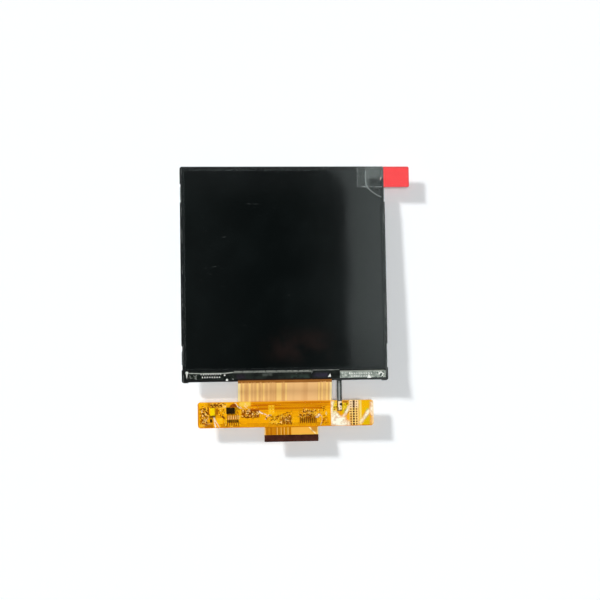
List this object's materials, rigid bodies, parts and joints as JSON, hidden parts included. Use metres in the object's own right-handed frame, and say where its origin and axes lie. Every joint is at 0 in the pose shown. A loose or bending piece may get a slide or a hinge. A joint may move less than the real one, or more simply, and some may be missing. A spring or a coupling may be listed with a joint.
{
  "type": "tft display module",
  "caption": "Square colour display module lying face up: glass screen in a thin framed backlight tray, red pull tab, and a T-shaped amber flex circuit with small parts and a contact tail.",
  "frame": {"origin": "middle of the metal tray's rear face", "axes": "+Z out of the screen, +Y from the flex towards the opposite edge, +X to the right when the screen is read with the flex below"},
  "size_m": [0.0882, 0.105, 0.0022],
  "materials": {
    "tray_metal": "satin",
    "frame_black": "fine moulded satin",
    "reflector_white": "white film",
    "guide_clear": "clear moulded",
    "film_diffuse": "diffusing",
    "film_prism": "fine prism",
    "led_flex_dark": "dark cover layer",
    "lamp": "phosphor window",
    "tape_black": "black film tape",
    "polarizer_dark": "glossy",
    "ledge_glass": "bare glass with fine metal lines",
    "cell_glass": "dark glass",
    "seal_grey": "cured adhesive",
    "crystal_dark": "dark layer",
    "protective_clear": "clear glossy film",
    "tab_clear": "clear glossy tape",
    "tab_red": "red film",
    "silicon_grey": "polished die",
    "bond_grey": "bond film",
    "flex_amber": "amber cover film over copper",
    "stiffener_brown": "brown film",
    "contact_gold": "gold plated",
    "chip_black": "moulded",
    "capacitor_yellow": "moulded",
    "chip_ceramic": "ceramic with tinned ends",
    "diode_black": "moulded",
    "coil_brown": "coated",
    "pad_gold": "gold plated pads",
    "via_copper": "plated through pads",
    "solder": "bright solder",
    "tape_amber": "clear amber film tape",
    "tape_clear": "clear film tape"
  },
  "bodies": {
    "root": {"rear_tray": "tray_metal", "mould_frame": "frame_black", "reflector_film": "reflector_white", "light_guide": "guide_clear", "diffuser_film": "film_diffuse", "lower_prism_film": "film_prism", "upper_prism_film": "film_prism", "led_flex": "led_flex_dark", "led_1": "lamp", "led_2": "lamp", "led_3": "lamp", "led_4": "lamp", "led_5": "lamp", "led_6": "lamp", "led_7": "lamp", "led_8": "lamp", "rim_tape": "tape_black", "rear_polarizer": "polarizer_dark", "tft_glass": "ledge_glass", "cell_seal": "seal_grey", "liquid_crystal": "crystal_dark", "colour_filter_glass": "cell_glass", "front_polarizer": "polarizer_dark", "protective_film": "protective_clear", "tab_tape": "tab_clear", "tab_grip": "tab_red", "driver_chip": "silicon_grey", "chip_bond_film": "bond_grey", "flex_bond_film": "bond_grey", "ledge_tape": "tape_black", "main_flex": "flex_amber", "tail_stiffener": "stiffener_brown", "contact_fingers": "contact_gold", "boost_chip": "chip_black", "yellow_capacitor": "capacitor_yellow", "diode": "diode_black", "coil": "coil_brown", "left_chips": "chip_ceramic", "top_chips": "chip_ceramic", "middle_chips": "chip_ceramic", "filter_capacitors": "chip_ceramic", "pump_capacitor_1": "chip_ceramic", "pump_capacitor_2": "chip_ceramic", "pump_capacitor_3": "chip_ceramic", "pump_capacitor_4": "chip_ceramic", "pump_capacitor_5": "chip_ceramic", "pump_capacitor_6": "chip_ceramic", "pump_capacitor_7": "chip_ceramic", "pump_capacitor_8": "chip_ceramic", "source_chips": "chip_ceramic", "gamma_chips": "chip_ceramic", "resistor_array": "chip_ceramic", "bare_pads": "pad_gold", "via_pads": "via_copper", "tail_solder": "solder", "component_tape": "tape_amber", "joint_tape": "tape_clear"}
  },
  "joints": []
}
